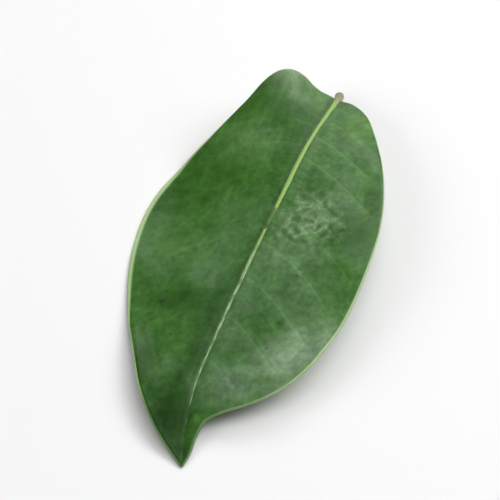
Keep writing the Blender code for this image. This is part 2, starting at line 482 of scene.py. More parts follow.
@dataclass(frozen=True)
class Blade:
    """The blade: a thin closed sheet, grooved above and ribbed beneath by its side veins."""

    form: LeafForm
    thickness: float = 0.44
    rim: float = 0.22
    widest_rim: float = 0.4
    least_fullness: float = 0.15
    rows_between_veins: tuple[int, ...] = (26, 20, 16) + (13,) * 20 + (16,)
    row_gathering: float = 0.6
    columns_per_half: int = 64
    column_power: float = 1.25
    rim_steps: int = 3
    outline_steps: int = 1600
    vein_nudge: float = 0.001
    vein_start: float = 0.05
    vein_end: float = 0.24
    puff_height: float = 0.05
    groove_depth: float = 0.03
    lesser_depth: float = 0.02
    lesser_reach: float = 0.62
    lesser_end: float = 0.3
    groove_width: float = 0.34
    ridge_height: float = 0.14
    ridge_width: float = 0.42
    spine_width: float = 1.7
    fillet_height: float = 0.3
    fillet_width: float = 1.5
    fillet_end: float = 114.0
    fillet_fade: float = 60.0
    bead_height: float = 0.07
    bead_place: float = 0.62
    bead_width: float = 0.3
    roll_depth: float = 0.3
    roll_width: float = 1.3
    roll_margin: float = 3.0
    roll_start: float = 3.5
    rolls: Ripples = Ripples(0.26, 9.0, 26.0, seed=7)
    dimples: Ripples = Ripples(0.07, 2.6, 8.0, seed=11, count=60)
    left_waves: Profile = Profile((
        (0, 0), (10, 0.5), (24, 0.7), (44, -0.7), (56, -0.6), (68, -0.1), (82, -0.7),
        (92, -0.5), (104, -0.2), (120, 0),
    ))
    right_waves: Profile = Profile((
        (0, 0), (7, 0.4), (30, -0.8), (40, -0.8), (54, -0.2), (70, -0.4), (82, -1.0),
        (104, 0.9), (112, 0.4), (120, 0),
    ))
    wave_margin: float = 5.0
    wave_start: float = 7.0
    puckers: Ripples = Ripples(0.2, 1.8, 4.2, seed=5, count=70)
    puckered: Swell = Swell(45, 9, 11, 9, 1)
    pucker_margin: float = 4.0
    pucker_start: float = 1.5
    swell: Swell = Swell(95, 4, 16, 8, 0.8)

    def row_stations(self) -> np.ndarray:
        """Rows from base to tip, gathered where either half has a side vein.

        Returns:
            The rows, from 0 to 1.
        """
        rows = [
            number + np.linspace(0, 1, count, endpoint=False)
            for number, count in enumerate(self.rows_between_veins)
        ]
        steps = np.append(np.concatenate(rows), len(self.rows_between_veins))
        gathered = steps - self.row_gathering * np.sin(math.tau * steps) / math.tau
        return gathered / len(self.rows_between_veins)

    def columns_of(self, row: np.ndarray) -> np.ndarray:
        """Places across the blade, gathered at the margins.

        Args:
            row: the rows.

        Returns:
            For each row and column, across from -1 to 1.
        """
        step = np.linspace(0, 1, self.columns_per_half + 1)[1:]
        inner = step**self.column_power
        angle = np.linspace(math.pi / 2, 0, self.rim_steps + 2)[1:]
        sides = []
        for side in Side:
            width = self.form.margin_width(row, side)
            rim = np.minimum(self.rim, self.widest_rim * width) / width
            outer = 1 - rim[:, None] * (1 - np.cos(angle))
            sides.append(np.hstack([inner * (1 - rim[:, None]), outer]))
        left, right = sides
        return np.hstack([-left[:, ::-1], np.zeros((len(row), 1)), right])

    def edge_distance(self, u: np.ndarray, w: np.ndarray) -> np.ndarray:
        """Distance of each place of the flat blade from the nearer margin.

        Args:
            u: distances from the base along the midrib.
            w: distances out from the midrib.

        Returns:
            One distance for each place.
        """
        fraction = np.linspace(0, 1, self.outline_steps)
        left = self.form.left.margin.at(fraction) * (1, -1)
        outline = np.vstack([left[::-1], self.form.right.margin.at(fraction), left[-1:]])
        tree = KDTree(len(outline))
        for number, (along, out) in enumerate(outline):
            tree.insert((along, out, 0), number)
        tree.balance()
        places = np.stack([u.ravel(), w.ravel()], axis=-1)
        near = np.array([tree.find((along, out, 0))[1] for along, out in places])
        gaps = []
        for first in (np.maximum(near - 1, 0), np.minimum(near, len(outline) - 2)):
            run = outline[first + 1] - outline[first]
            offset = places - outline[first]
            share = np.clip((offset * run).sum(axis=1) / (run**2).sum(axis=1), 0, 1)
            gaps.append(np.linalg.norm(offset - run * share[:, None], axis=1))
        return np.minimum(*gaps).reshape(u.shape)

    def grid(self) -> BladeGrid:
        """Lay out the rows and columns, and measure how far each point is from a vein.

        Returns:
            The grid, with what its points are told apart by.
        """
        rows = self.row_stations()
        across = self.columns_of(rows)
        row = np.broadcast_to(rows[:, None], across.shape)
        u, w = self.form.flat_place(row, across)
        gap = self.form.vein_gap(row, across)
        before, after = ramp(row - self.vein_nudge), ramp(row + self.vein_nudge)
        u_next, w_next = self.form.flat_place(after, across)
        u_last, w_last = self.form.flat_place(before, across)
        u_step = (u_next - u_last) / (after - before)
        w_step = (w_next - w_last) / (after - before)
        u_run = np.gradient(u, axis=1)
        w_run = np.gradient(w, axis=1)
        run = np.maximum(np.hypot(u_run, w_run), TINY)
        spacing = np.abs(u_step * w_run - w_step * u_run) / run / self.form.vein_rows
        out = np.abs(across)
        count = row * self.form.vein_rows
        starts = ramp(np.minimum(count, self.form.vein_rows - count)) * ramp(out / self.vein_start)
        edge = self.edge_distance(u, w)
        inside = ramp(edge / self.rim)
        border = np.where(w < 0, self.form.left.border.at(u), self.form.right.border.at(u))
        return BladeGrid(
            inside=inside,
            fullness=np.maximum(np.sqrt(inside * (2 - inside)), self.least_fullness),
            u=u,
            w=w,
            gap=gap,
            vein=gap * spacing,
            show=starts * ramp((1 - out) / self.vein_end),
            lesser=(0.5 - gap) * spacing,
            lesser_show=starts * ramp((self.lesser_reach - out) / self.lesser_end),
            edge=edge,
            border=edge / border,
        )

    def faces_of(self, rows: int, columns: int) -> tuple[list[list[int]], np.ndarray]:
        """Faces of the closed sheet, and the skin of each.

        Args:
            rows: number of rows of points.
            columns: number of columns of points. The first and last are shared by
                the two faces of the blade.

        Returns:
            The point numbers of each face, and the skin of each. Where the two faces
            of the blade meet at the ends, a face has three points.
        """
        top = np.arange(rows * columns).reshape(rows, columns)
        bottom = top.copy()
        inner = np.arange(rows * (columns - 2)).reshape(rows, columns - 2)
        bottom[:, 1:-1] = inner + rows * columns
        a, b, c, d = top[:-1, :-1], top[:-1, 1:], top[1:, 1:], top[1:, :-1]
        upper = np.stack([a, d, c, b], axis=-1)
        a, b, c, d = bottom[:-1, :-1], bottom[:-1, 1:], bottom[1:, 1:], bottom[1:, :-1]
        under = np.stack([a, b, c, d], axis=-1)
        skin = np.full(upper.shape[:2], Skin.UPPER.value)
        skin[:, : self.rim_steps + 1] = Skin.RIM.value
        skin[:, -self.rim_steps - 1 :] = Skin.RIM.value
        under_skin = np.where(skin == Skin.RIM.value, skin, Skin.UNDER.value)
        caps = []
        for number, order in ((0, 1), (-1, -1)):
            line, low = top[number], bottom[number]
            quads = np.stack([line[:-1], line[1:], low[1:], low[:-1]], axis=-1)[:, ::order]
            caps += [list(dict.fromkeys(quad)) for quad in quads.tolist()]
        faces = [*upper.reshape(-1, 4).tolist(), *under.reshape(-1, 4).tolist(), *caps]
        skins = np.concatenate([
            skin.ravel(), under_skin.ravel(), np.full(len(caps), Skin.RIM.value),
        ])
        return faces, skins

    def relief(self, grid: BladeGrid) -> np.ndarray:
        """Heights that wave the whole blade, upper and under face alike.

        Args:
            grid: the blade's grid.

        Returns:
            One height for each point.
        """
        puff = self.puff_height * np.sin(math.pi * grid.gap) ** 2 * grid.show
        rolls = self.rolls.at(grid.u, grid.w) * self.quiet(grid, self.roll_margin, self.roll_start)
        waves = np.where(grid.w < 0, self.left_waves.at(grid.u), self.right_waves.at(grid.u))
        waves = waves * self.quiet(grid, self.wave_margin, self.wave_start)
        swell = self.swell.at(grid.u, grid.w)
        swell = swell * self.quiet(grid, self.pucker_margin, self.pucker_start)
        spine = self.form.spine.at(grid.u) * bell(grid.w, self.spine_width)
        turned = self.roll_depth * ramp(1 - grid.edge / self.roll_width) ** 2
        return puff + rolls + waves + swell + spine - turned

    def quiet(self, grid: BladeGrid, margin: float, start: float) -> np.ndarray:
        """Share that fades an unevenness out near the margin and near the midrib."""
        return ramp(grid.edge / margin) * (1 - bell(grid.w, start))

    def upper_detail(self, grid: BladeGrid) -> np.ndarray:
        """Heights of the upper face alone: grooves, puckers, dimples and the margin's bead.

        Args:
            grid: the blade's grid.

        Returns:
            One height for each point.
        """
        groove = self.groove_depth * bell(grid.vein, self.groove_width) * grid.show
        lesser = self.lesser_depth * bell(grid.lesser, self.groove_width) * grid.lesser_show
        bead = self.bead_height * bell(grid.edge - self.bead_place, self.bead_width)
        puckers = self.puckers.at(grid.u, grid.w) * self.puckered.at(grid.u, grid.w)
        puckers = puckers * self.quiet(grid, self.pucker_margin, self.pucker_start)
        dimples = self.dimples.at(grid.u, grid.w)
        dimples = dimples * self.quiet(grid, self.roll_margin, self.roll_start)
        return dimples + puckers - groove - lesser + bead

    def under_detail(self, grid: BladeGrid) -> np.ndarray:
        """Depths of the under face alone: the side veins' ridges and the midrib's fillet.

        Args:
            grid: the blade's grid.

        Returns:
            One depth for each point.
        """
        ridge = self.ridge_height * bell(grid.vein, self.ridge_width) * grid.show
        fillet = self.fillet_height * bell(grid.w, self.fillet_width)
        return ridge + fillet * ramp((self.fillet_end - grid.u) / self.fillet_fade)

    def build(self, materials: list[bpy.types.Material]) -> bpy.types.Object:
        """Build the sheet and dress its upper face, under face and rim.

        Args:
            materials: one for each skin, in the order of Skin.

        Returns:
            The blade's object.
        """
        grid = self.grid()
        half = self.thickness / 2
        shift = self.relief(grid)
        middle = self.form.middle(grid.u, grid.w, shift, half)
        normal = self.form.facing(grid.u, grid.w, shift, half)
        lift = half * grid.fullness + self.upper_detail(grid) * grid.inside
        lift[:, [0, -1]] = 0
        sink = half * grid.fullness + self.under_detail(grid) * grid.inside
        top = middle + normal * lift[..., None]
        bottom = middle - normal * sink[..., None]
        bottom[..., 2] = np.maximum(bottom[..., 2], 0.0)
        faces, skins = self.faces_of(*grid.u.shape)
        points = np.vstack([top.reshape(-1, 3), bottom[:, 1:-1].reshape(-1, 3)])
        item = mesh_object("leaf_blade", points, faces, skins, materials)
        flat = np.stack([grid.w, grid.u, np.zeros_like(grid.u)], axis=-1)
        layers = {
            Mark.VEIN: grid.vein,
            Mark.VEIN_SHOW: grid.show,
            Mark.BORDER: grid.border,
        }
        marks = {m: np.append(v.ravel(), v[:, 1:-1].ravel()) for m, v in layers.items()}
        marks[Mark.FLAT] = np.vstack([flat.reshape(-1, 3), flat[:, 1:-1].reshape(-1, 3)])
        set_marks(item.data, marks)
        return item


@dataclass(frozen=True)
class StalkAndMidrib:
    """The stalk from its cut end to the blade, and the midrib that it runs on into."""

    form: LeafForm
    blade_thickness: float = 0.44
    midrib_end: float = 116.0
    midrib_step: float = 0.6
    midrib_radius: Profile = Profile((
        (0, 1.1), (30, 0.95), (60, 0.8), (80, 0.66), (100, 0.48), (116, 0.2),
    ))
    midrib_crown: Profile = Profile((
        (0, 0.5), (8, 0.44), (38, 0.4), (46, 0.31), (60, 0.35), (80, 0.32), (100, 0.3), (116, 0.12),
    ))
    stalk_axis: Table = (
        (-1.7, 8.4, -5.831), (-1.3, 7.3, -4.7), (-0.6, 4.8, -2.3), (-0.1, 2.4, -0.8),
    )
    stalk_sink: float = 0.35
    stalk_blend: float = 6.0
    stalk_radius: Profile = Profile(((0, 1.15), (1.5, 0.98), (6, 0.88), (9, 1.0)))
    stalk_step: float = 0.16
    sides: int = 40
    furrow_depth: float = 0.16
    furrow_width: float = 0.5
    furrow_start: float = -12.0
    furrow_rise: float = 3.0
    furrow_least: float = 0.3
    furrow_end: float = 5.0
    cut_rings: Table = (
        (0.97, -0.1), (0.9, -0.14), (0.78, -0.12), (0.55, -0.04), (0.3, 0.0), (0.02, 0.02),
    )
    tip_rings: Table = ((0.6, 0.05), (0.02, 0.05))
    beads_start: float = 44.0
    beads_rise: float = 20.0
    beads_fade: float = 10.0
    knobs: Ripples = Ripples(0.03, 0.7, 2.4, seed=3, count=40)
    beads: Ripples = Ripples(0.07, 3.5, 8.0, seed=9, count=12)

    def blade_middle(self, u: np.ndarray) -> np.ndarray:
        """Places of the blade's middle along the midrib."""
        flat, half = np.zeros_like(u), self.blade_thickness / 2
        return self.form.middle(u, flat, self.form.spine.at(u), half)

    def axis_and_radii(self) -> tuple[np.ndarray, np.ndarray, np.ndarray]:
        """Line that the tube follows.

        Returns:
            The axis from the cut end to near the tip, the radius at each of its
            points, and the distance u of each, below zero on the stalk.
        """
        start = self.blade_middle(np.array([0.0]))[0]
        solid_base = start - (0, 0, self.stalk_sink)
        stalk = Path(tuple(map(tuple, [*(solid_base + self.stalk_axis), solid_base])))
        length = stalk.length()
        distance = np.arange(0, length - self.stalk_step / 2, self.stalk_step)
        u = np.arange(0, self.midrib_end, self.midrib_step)
        radius = self.midrib_radius.at(u)
        beads = self.beads.at(u, np.zeros_like(u)) * ramp((u - self.beads_start) / self.beads_rise)
        beads = beads * ramp((self.midrib_end - u) / self.beads_fade)
        sink = radius - self.midrib_crown.at(u) - beads
        sink = sink + (self.stalk_sink - sink) * ramp(1 - u / self.stalk_blend) ** 2
        midrib = self.blade_middle(u) - sink[:, None] * np.array([0, 0, 1])
        axis = np.vstack([stalk.at(distance / length), midrib])
        radii = np.append(self.stalk_radius.at(distance), radius)
        return axis, radii, np.append(distance - length, u)

    def build(self, materials: list[bpy.types.Material]) -> bpy.types.Object:
        """Build the tube, with a shallow furrow along the stalk and a rounded cut end.

        Args:
            materials: the bark's and the cut end's.

        Returns:
            The tube's object.
        """
        axis, radii, along = self.axis_and_radii()
        forward = np.gradient(axis, axis=0)
        forward /= np.linalg.norm(forward, axis=1, keepdims=True)
        side = np.cross(forward, (0, 0, 1))
        side /= np.linalg.norm(side, axis=1, keepdims=True)
        up = np.cross(side, forward)
        angle = np.linspace(0, math.tau, self.sides, endpoint=False)
        crown = np.angle(np.exp(1j * (angle - math.pi / 2)))
        furrow = self.furrow_depth * bell(crown, self.furrow_width)
        rise = np.clip((along - self.furrow_start) / self.furrow_rise, self.furrow_least, 1)
        shown = (ramp(1 - along / self.furrow_end) * rise)[:, None]
        knobs = self.knobs.at(along[:, None] + 0 * angle, radii[:, None] * angle)
        reach = radii[:, None] - furrow * shown + knobs * ramp(-along)[:, None]
        ring = (
            np.cos(angle)[None, :, None] * side[:, None, :]
            + np.sin(angle)[None, :, None] * up[:, None, :]
        )
        tube = axis[:, None, :] + ring * reach[..., None]
        tube[..., 2] = np.maximum(tube[..., 2], 0.0)
        end = [
            axis[0] + (tube[0] - axis[0]) * share + forward[0] * push
            for share, push in self.cut_rings
        ]
        tip = [
            axis[-1] + (tube[-1] - axis[-1]) * share + forward[-1] * push
            for share, push in self.tip_rings
        ]
        rings = np.vstack([np.array(end[::-1]), tube, np.array(tip)])
        count = len(rings)
        number = np.arange(count * self.sides).reshape(count, self.sides)
        after = np.roll(number, -1, axis=1)
        sides = np.stack([number[:-1], number[1:], after[1:], after[:-1]], axis=-1)
        skins = np.zeros((count - 1, self.sides))
        skins[: len(end) - 1] = 1
        faces = [*sides.reshape(-1, 4).tolist(), number[0].tolist(), number[-1, ::-1].tolist()]
        skins = np.append(skins.ravel(), (1, 0))
        points = rings.reshape(-1, 3)
        item = mesh_object("stalk_and_midrib", points, faces, skins, materials)
        places = np.pad(along, (len(end), len(tip)), mode="edge")
        cut = np.append([share for share, _ in self.cut_rings[::-1]], np.ones(count - len(end)))
        marks = {
            Mark.ALONG: np.repeat(places, self.sides),
            Mark.AROUND: np.tile(crown, count),
            Mark.CUT: np.repeat(cut, self.sides),
        }
        set_marks(item.data, marks)
        return item


class Wiring:
    """Adds shader nodes to one node tree and links them."""

    def __init__(self, tree: bpy.types.NodeTree) -> None:
        """Start with the tree's nodes cleared."""
        self.tree = tree
        tree.nodes.clear()

    def add(self, kind: str, **settings: object) -> bpy.types.Node:
        """Add a node and set its own properties.

        Args:
            kind: the node's type.
            settings: its properties, by name.

        Returns:
            The node.
        """
        node = self.tree.nodes.new(kind)
        for name, value in settings.items():
            setattr(node, name, value)
        return node

    def feed(self, socket: Socket, source: Source) -> None:
        """Link another node's output to a socket, or set the socket's own value.

        Args:
            socket: the input that takes the source.
            source: an output, or a value.
        """
        if isinstance(source, bpy.types.NodeSocket):
            self.tree.links.new(source, socket)
        elif socket.type == "RGBA":
            socket.default_value = (*source, 1.0)
        else:
            socket.default_value = source

    def maths(self, operation: str, *values: Source) -> Socket:
        """Result of a Math node on the values.

        Args:
            operation: what the node does.
            values: its inputs, in order.

        Returns:
            The result.
        """
        node = self.add("ShaderNodeMath", operation=operation)
        for socket, value in zip(node.inputs, values):
            self.feed(socket, value)
        return node.outputs[0]

    def vector(self, operation: str, *values: Source) -> Socket:
        """Vector result of a Vector Math node on the values.

        Args:
            operation: what the node does.
            values: its inputs, in order.

        Returns:
            The result.
        """
        node = self.add("ShaderNodeVectorMath", operation=operation)
        for socket, value in zip(node.inputs, values):
            self.feed(socket, value)
        return node.outputs["Vector"]

    def scaled(self, place: Source, size: Source) -> Socket:
        """The place divided by a size, so that one unit of it spans that size.

        Args:
            place: the place.
            size: the size.

        Returns:
            The scaled place.
        """
        node = self.add("ShaderNodeVectorMath", operation="SCALE")
        self.feed(node.inputs["Vector"], place)
        self.feed(node.inputs["Scale"], self.maths("DIVIDE", 1.0, size))
        return node.outputs["Vector"]

    def mix(self, share: Source, first: Source, second: Source, blend: str = "MIX") -> Socket:
        """Colour between the first and the second, by the share of the second.

        Args:
            share: 0 for the first and 1 for the second.
            first: the first colour.
            second: the second colour.
            blend: how the second is laid on the first.

        Returns:
            The colour.
        """
        node = self.add("ShaderNodeMix", data_type="RGBA", blend_type=blend)
        self.feed(node.inputs["Factor"], share)
        self.feed(node.inputs["A"], first)
        self.feed(node.inputs["B"], second)
        return node.outputs["Result"]

    def ease(self, value: Source, low: Source, high: Source) -> Socket:
        """0 below low and 1 above high, with a smooth change between.

        Args:
            value: the value.
            low: where the change starts.
            high: where it ends.

        Returns:
            The eased value.
        """
        node = self.add("ShaderNodeMapRange", interpolation_type="SMOOTHSTEP")
        for name, source in (("Value", value), ("From Min", low), ("From Max", high)):
            self.feed(node.inputs[name], source)
        return node.outputs["Result"]

    def span(self, value: Source, low: float, high: float) -> Socket:
        """A value from 0 to 1 turned into one from low to high.

        Args:
            value: the value.
            low: the result at 0.
            high: the result at 1.

        Returns:
            The result.
        """
        node = self.add("ShaderNodeMapRange")
        self.feed(node.inputs["Value"], value)
        self.feed(node.inputs["To Min"], low)
        self.feed(node.inputs["To Max"], high)
        return node.outputs["Result"]

    def total(self, *parts: tuple[Source, float]) -> Socket:
        """Sum of the sources, each by its weight.

        Args:
            parts: pairs of a source and its weight.

        Returns:
            The sum.
        """
        (first, weight), *others = parts
        result = self.maths("MULTIPLY", first, weight)
        for source, weight in others:
            result = self.maths("ADD", result, self.maths("MULTIPLY", source, weight))
        return result

    def mark(self, mark: Mark) -> Socket:
        """What the mesh's points carry under that mark."""
        node = self.add("ShaderNodeAttribute", attribute_type="GEOMETRY", attribute_name=mark.value)
        return node.outputs["Vector" if mark is Mark.FLAT else "Fac"]


@dataclass(frozen=True)
class Pattern:
    """A pattern that a node group draws.

    The group's first input takes the place or the distance that it is drawn by, and the
    other inputs are called after the fields, with a capital.
    """


@dataclass(frozen=True)
class Mottle(Pattern):
    """Soft patches: how wide they are, how finely they break up, how sharply they part."""

    size: float
    detail: float
    contrast: float


@dataclass(frozen=True)
class Net(Pattern):
    """A net of fine lines: how wide its cells are, how thick and how unsteady its lines."""

    cell: float
    line: float
    wander: float


@dataclass(frozen=True)
class Stripe(Pattern):
    """A soft-edged line: half its width, and how far its edge fades."""

    width: float
    softness: float


@dataclass(frozen=True)
class Specks(Pattern):
    """Scattered spots: how far apart they are, in what share of the cells, how wide."""

    spacing: float
    share: float
    radius: float


@dataclass(frozen=True)
class Patch(Pattern):
    """One soft patch at a place (u, w) of the flat blade, and its two reaches."""

    u: float
    w: float
    along: float
    out: float
    uneven: float = 0.3


class Tone(Enum):
    """What a soft zone of the upper face turns towards: painted shade, sheen and highlight, lighter
    green, dark specks, more or less wax.
    """

    DEEP = "deep"
    YOUNG = "young"
    BLOOM = "bloom"
    PALE = "pale"
    SPECK = "speck"
    WAX = "wax"
    DULL = "dull"


@dataclass(frozen=True)
class Zone:
    """A soft patch of the upper face that turns towards each tone by its share; most zones paint
    shade, sheen and highlights into the colour.
    """

    u: float
    w: float
    along: float
    out: float
    shares: dict[Tone, float]

    def patch(self) -> Patch:
        """The patch that the zone fills."""
        return Patch(self.u, self.w, self.along, self.out)


@dataclass(frozen=True)
class GroupPlan:
    """Names of a node group's inputs and outputs. Places are vectors, the rest numbers."""

    name: str
    inputs: tuple[str, ...]
    outputs: tuple[str, ...]

    def start(self) -> tuple[Wiring, bpy.types.Node, bpy.types.Node]:
        """Make the empty group with its sockets, and return its wiring and both ends.

        Returns:
            The wiring, the node of the inputs and the node of the outputs.
        """
        tree = bpy.data.node_groups.new(self.name, "ShaderNodeTree")
        for socket in self.inputs:
            kind = "NodeSocketVector" if socket == "Place" else "NodeSocketFloat"
            tree.interface.new_socket(socket, in_out="INPUT", socket_type=kind)
        for socket in self.outputs:
            tree.interface.new_socket(socket, in_out="OUTPUT", socket_type="NodeSocketFloat")
        wiring = Wiring(tree)
        return wiring, wiring.add("NodeGroupInput"), wiring.add("NodeGroupOutput")


class LeafEffects:
    """The node groups that more than one finish uses, by the pattern that each draws."""

    drift_scale: float = 0.8
    pillow_reach: float = 0.45
    speck_sizes: Range = (0.5, 1.2)
    speck_core: float = 0.45
    patch_drift_size: float = 5.0

    def __init__(self) -> None:
        """Build every group once."""
        self.groups: dict[type[Pattern], bpy.types.NodeTree] = {
            Mottle: self.build_mottle(),
            Net: self.build_net(),
            Stripe: self.build_stripe(),
            Specks: self.build_specks(),
            Patch: self.build_patch(),
        }

    def build_mottle(self) -> bpy.types.NodeTree:
        """Soft patches of Size, which Contrast parts from one another.

        Returns:
            The group.
        """
        plan = GroupPlan("soft_patches", ("Place", "Size", "Detail", "Contrast"), ("Patches",))
        wiring, start, end = plan.start()
        place = wiring.scaled(start.outputs["Place"], start.outputs["Size"])
        noise = wiring.add("ShaderNodeTexNoise")
        wiring.feed(noise.inputs["Vector"], place)
        wiring.feed(noise.inputs["Scale"], 1.0)
        wiring.feed(noise.inputs["Detail"], start.outputs["Detail"])
        spread = wiring.maths("MULTIPLY", start.outputs["Contrast"], -0.5)
        low = wiring.maths("ADD", spread, 0.5)
        high = wiring.maths("SUBTRACT", 0.5, spread)
        wiring.feed(end.inputs["Patches"], wiring.ease(noise.outputs["Fac"], low, high))
        return wiring.tree

    def build_net(self) -> bpy.types.NodeTree:
        """A net whose Lines are 1 along its threads, and whose Pillow rises between them.

        Returns:
            The group.
        """
        plan = GroupPlan("fine_vein_net", ("Place", "Cell", "Line", "Wander"), ("Lines", "Pillow"))
        wiring, start, end = plan.start()
        place = wiring.scaled(start.outputs["Place"], start.outputs["Cell"])
        noise = wiring.add("ShaderNodeTexNoise")
        wiring.feed(noise.inputs["Vector"], place)
        wiring.feed(noise.inputs["Scale"], self.drift_scale)
        drift = wiring.vector("SUBTRACT", noise.outputs["Color"], (0.5, 0.5, 0.5))
        wander = wiring.add("ShaderNodeVectorMath", operation="SCALE")
        wiring.feed(wander.inputs["Vector"], drift)
        wiring.feed(wander.inputs["Scale"], start.outputs["Wander"])
        cells = wiring.add("ShaderNodeTexVoronoi", feature="DISTANCE_TO_EDGE")
        cells.voronoi_dimensions = "2D"
        wiring.feed(cells.inputs["Vector"], wiring.vector("ADD", place, wander.outputs["Vector"]))
        wiring.feed(cells.inputs["Scale"], 1.0)
        distance = cells.outputs["Distance"]
        lines = wiring.maths("SUBTRACT", 1.0, wiring.ease(distance, 0.0, start.outputs["Line"]))
        wiring.feed(end.inputs["Lines"], lines)
        wiring.feed(end.inputs["Pillow"], wiring.ease(distance, 0.0, self.pillow_reach))
        return wiring.tree

    def build_stripe(self) -> bpy.types.NodeTree:
        """A line that is 1 at distance 0, and 0 past its Width and Softness.

        Returns:
            The group.
        """
        plan = GroupPlan("soft_line", ("Distance", "Width", "Softness"), ("Line",))
        wiring, start, end = plan.start()
        reach = wiring.maths("ADD", start.outputs["Width"], start.outputs["Softness"])
        away = wiring.ease(start.outputs["Distance"], start.outputs["Width"], reach)
        wiring.feed(end.inputs["Line"], wiring.maths("SUBTRACT", 1.0, away))
        return wiring.tree

    def build_specks(self) -> bpy.types.NodeTree:
        """Spots of about Radius, in a Share of cells that are Spacing wide.

        Returns:
            The group.
        """
        plan = GroupPlan("scattered_specks", ("Place", "Spacing", "Share", "Radius"), ("Specks",))
        wiring, start, end = plan.start()
        cells = wiring.add("ShaderNodeTexVoronoi", voronoi_dimensions="2D")
        place = wiring.scaled(start.outputs["Place"], start.outputs["Spacing"])
        wiring.feed(cells.inputs["Vector"], place)
        wiring.feed(cells.inputs["Scale"], 1.0)
        parts = wiring.add("ShaderNodeSeparateColor")
        wiring.feed(parts.inputs["Color"], cells.outputs["Color"])
        chosen = wiring.maths("LESS_THAN", parts.outputs["Red"], start.outputs["Share"])
        size = wiring.maths("DIVIDE", start.outputs["Radius"], start.outputs["Spacing"])
        uneven = wiring.span(parts.outputs["Green"], *self.speck_sizes)
        size = wiring.maths("MULTIPLY", size, uneven)
        inner = wiring.maths("MULTIPLY", size, self.speck_core)
        spot = wiring.maths("SUBTRACT", 1.0, wiring.ease(cells.outputs["Distance"], inner, size))
        wiring.feed(end.inputs["Specks"], wiring.maths("MULTIPLY", spot, chosen))
        return wiring.tree

    def build_patch(self) -> bpy.types.NodeTree:
        """One patch that is 1 at its middle (U, W), and 0 past its reaches Along and Out.

        Returns:
            The group.
        """
        inputs = ("Place", "U", "W", "Along", "Out", "Uneven")
        wiring, start, end = GroupPlan("soft_patch", inputs, ("Patch",)).start()
        parts = wiring.add("ShaderNodeSeparateXYZ")
        wiring.feed(parts.inputs["Vector"], start.outputs["Place"])
        squares = []
        for axis, middle, reach in (("Y", "U", "Along"), ("X", "W", "Out")):
            away = wiring.maths("SUBTRACT", parts.outputs[axis], start.outputs[middle])
            away = wiring.maths("DIVIDE", away, start.outputs[reach])
            squares.append(wiring.maths("MULTIPLY", away, away))
        distance = wiring.maths("SQRT", wiring.maths("ADD", *squares))
        noise = wiring.add("ShaderNodeTexNoise")
        place = wiring.scaled(start.outputs["Place"], self.patch_drift_size)
        wiring.feed(noise.inputs["Vector"], place)
        wiring.feed(noise.inputs["Scale"], 1.0)
        drift = wiring.maths("SUBTRACT", noise.outputs["Fac"], 0.5)
        drift = wiring.maths("MULTIPLY", drift, start.outputs["Uneven"])
        away = wiring.ease(wiring.maths("ADD", distance, drift), 0.0, 1.0)
        wiring.feed(end.inputs["Patch"], wiring.maths("SUBTRACT", 1.0, away))
        return wiring.tree


@dataclass(frozen=True)
class Gloss:
    """What is the same all over a finish: values of the shader, and how deep it is bumped."""

    refraction: float = 1.45
    coat_roughness: float = 0.25
    depth: float = 0.04


class Painter(Wiring):
    """The wiring of one material, with the patterns that it may draw."""

    def __init__(self, name: str, effects: LeafEffects) -> None:
        """Start an empty material of that name.

        Args:
            name: the material's name.
            effects: the node groups.
        """
        self.effects = effects
        self.material = bpy.data.materials.new(name)
        self.material.use_nodes = True
        super().__init__(self.material.node_tree)

    def draw(self, pattern: Pattern, source: Source, output: str = "") -> Socket:
        """Draw a pattern.

        Args:
            pattern: the pattern, with its sizes.
            source: the place or the distance that it is drawn by.
            output: which of the group's outputs is wanted, or nothing for the first.

        Returns:
            The output's socket.
        """
        node = self.add("ShaderNodeGroup", node_tree=self.effects.groups[type(pattern)])
        self.feed(node.inputs[0], source)
        for name, value in asdict(pattern).items():
            self.feed(node.inputs[name.capitalize()], value)
        return node.outputs[output] if output else node.outputs[0]

    def tint(
        self, colour: Source, tone: Source, mask: Source, share: float = 1.0, blend: str = "MIX"
    ) -> Socket:
        """The colour, turned towards the tone by the share where the mask is 1."""
        return self.mix(self.maths("MULTIPLY", mask, share), colour, tone, blend)

    def axis(self, place: Source, name: str) -> Socket:
        """One of a place's three values, X, Y or Z.

        Args:
            place: the place.
            name: X, Y or Z.

        Returns:
            The value.
        """
        parts = self.add("ShaderNodeSeparateXYZ")
        self.feed(parts.inputs["Vector"], place)
        return parts.outputs[name]

    def finish(
        self,
        colour: Source,
        roughness: Source,
        height: Source,
        gloss: Gloss,
        coat: Source = 0.0,
    ) -> None:
        """End the material with its shader, bump and output.

        Args:
            colour: what feeds the base colour.
            roughness: what feeds the roughness.
            height: what feeds the bump's height, from 0 to 1.
            gloss: the values that are the same all over.
            coat: what feeds the weight of the coat.
        """
        bump = self.add("ShaderNodeBump")
        self.feed(bump.inputs["Height"], height)
        bump.inputs["Strength"].default_value = 1.0
        bump.inputs["Distance"].default_value = gloss.depth * MM
        shader = self.add("ShaderNodeBsdfPrincipled")
        self.feed(shader.inputs["Base Color"], colour)
        self.feed(shader.inputs["Roughness"], roughness)
        self.feed(shader.inputs["Coat Weight"], coat)
        self.feed(shader.inputs["Normal"], bump.outputs["Normal"])
        shader.inputs["IOR"].default_value = gloss.refraction
        shader.inputs["Coat Roughness"].default_value = gloss.coat_roughness
        output = self.add("ShaderNodeOutputMaterial")
        self.feed(output.inputs["Surface"], shader.outputs["BSDF"])


@dataclass(frozen=True)
class Finish:
    """A finish: the name of its material, and how its pattern is drawn."""

    name: str

    def make(self, effects: LeafEffects) -> bpy.types.Material:
        """Build the finish.

        Args:
            effects: the node groups that its patterns are drawn with.

        Returns:
            The material.
        """
        paint = Painter(self.name, effects)
        self.dress(paint)
        return paint.material

    def dress(self, paint: Painter) -> None:
        """Draw the pattern. Each finish has its own."""
        raise NotImplementedError


